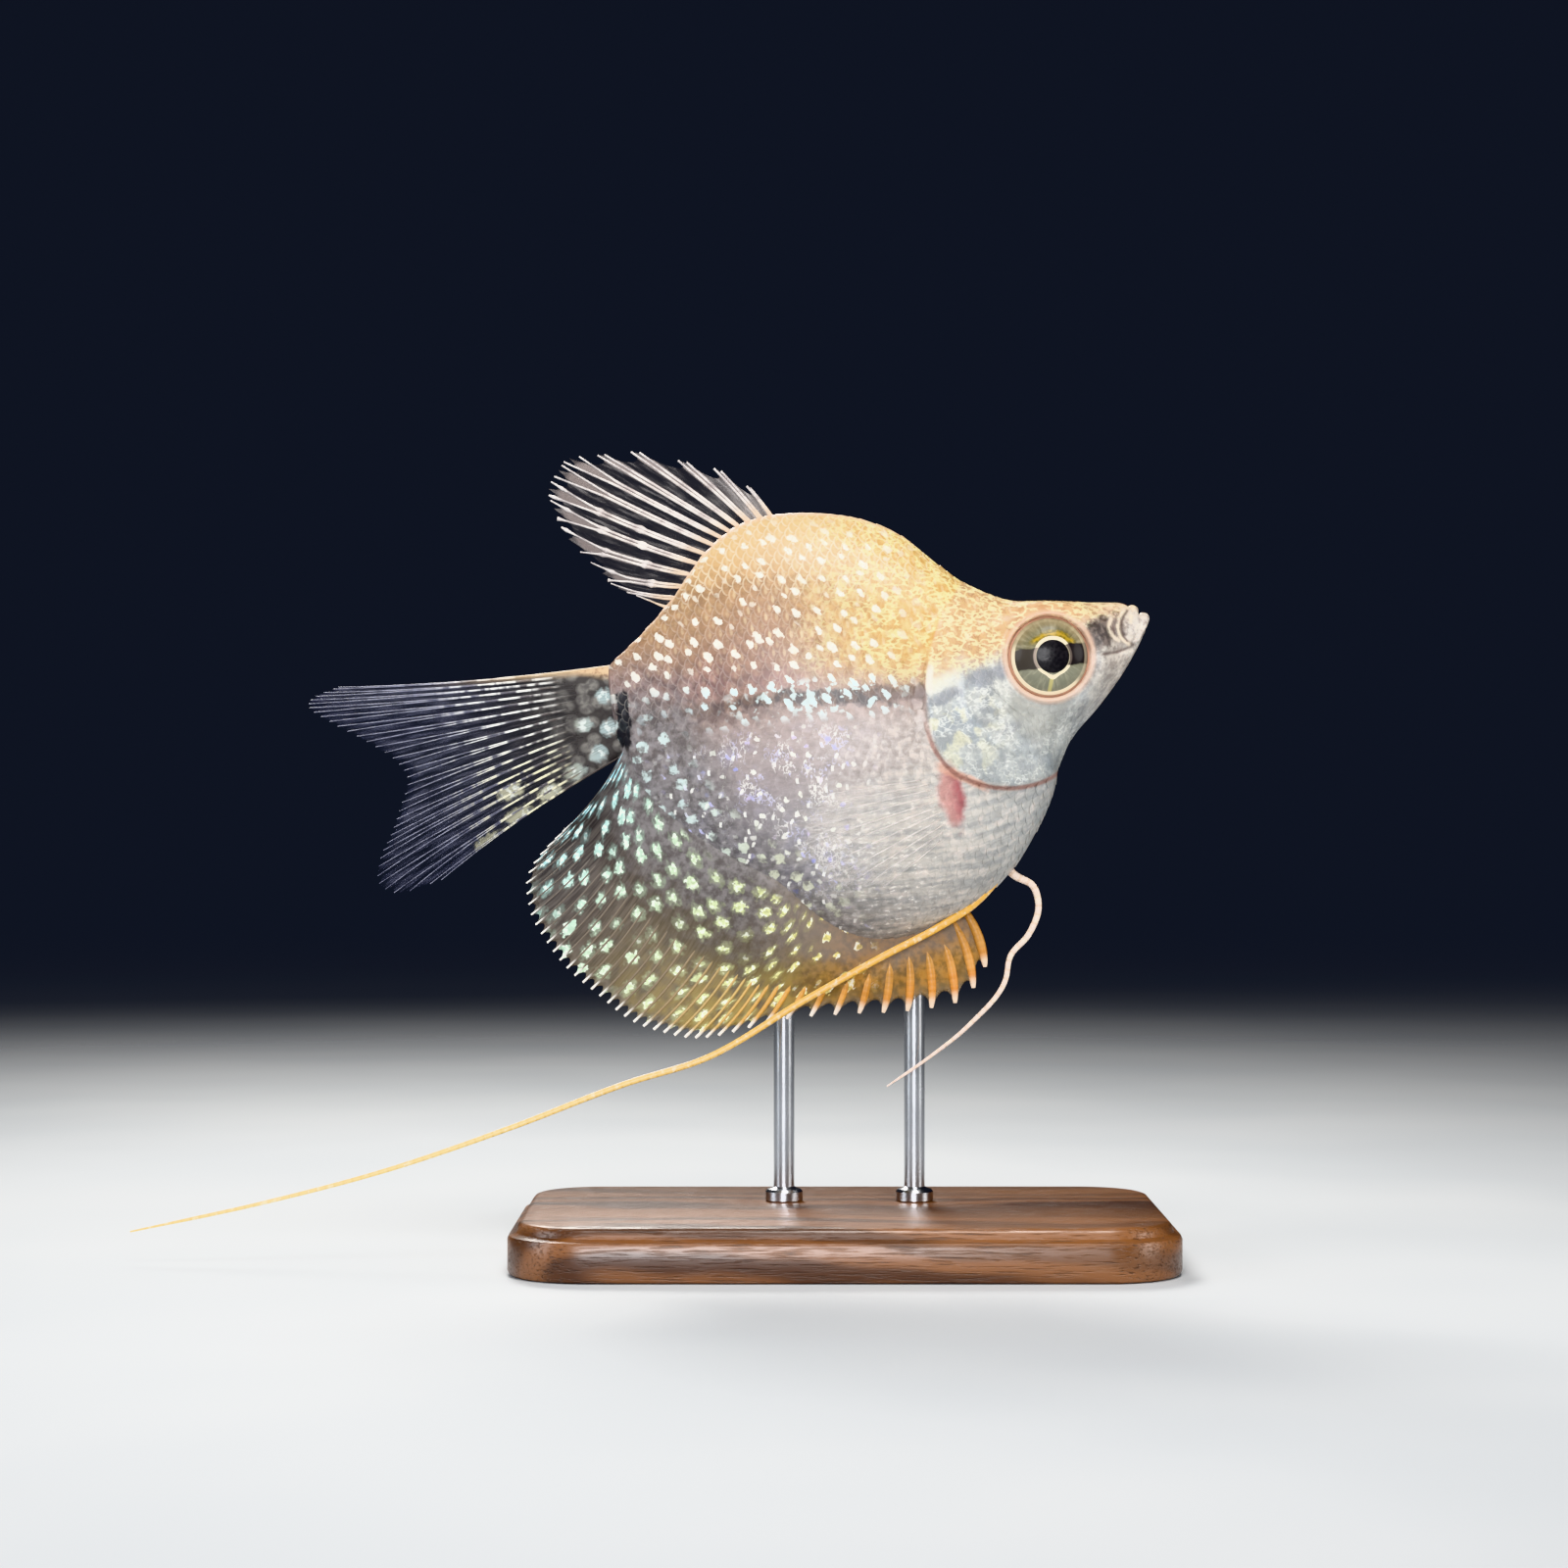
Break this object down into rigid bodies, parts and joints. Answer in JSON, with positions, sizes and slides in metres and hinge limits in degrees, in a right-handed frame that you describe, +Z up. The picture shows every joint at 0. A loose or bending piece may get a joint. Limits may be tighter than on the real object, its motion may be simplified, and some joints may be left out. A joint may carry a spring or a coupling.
{
  "type": "pearl gourami model on a display stand",
  "caption": "Life-size short-bodied pearl gourami swimming, with pearl spots, fan-shaped fins and long pelvic feelers, held by rods on a flat base.",
  "frame": {"origin": "centre of the stand base's underside", "axes": "+Z up, +X towards the fish's head along the longest side, -Y on the fish's right"},
  "size_m": [0.079, 0.03, 0.0617],
  "materials": {
    "skin": "moist scaled skin, gold-tan back, silver belly, white pearl spots",
    "eye": "glossy, black pupil in a cream ring, olive and gold iris",
    "clear_fin": "clear smoky web with whitish rays",
    "anal_fin": "dark web with pale green spots, orange in front",
    "feeler": "soft golden cream",
    "walnut": "satin oiled",
    "steel": "brushed"
  },
  "bodies": {
    "root": {"head": "skin", "trunk": "skin", "tail_stalk": "skin", "eye_left": "eye", "eye_right": "eye", "dorsal_fin": "clear_fin", "caudal_fin": "clear_fin", "anal_fin": "anal_fin", "pectoral_fin_left": "clear_fin", "pectoral_fin_right": "clear_fin", "pelvic_feeler_right_root": "feeler", "pelvic_feeler_right_middle": "feeler", "pelvic_feeler_right_tip": "feeler", "pelvic_feeler_left_root": "feeler", "pelvic_feeler_left_tip": "feeler", "stand_base": "walnut", "stand_rod_front": "steel", "stand_rod_rear": "steel"}
  },
  "joints": []
}
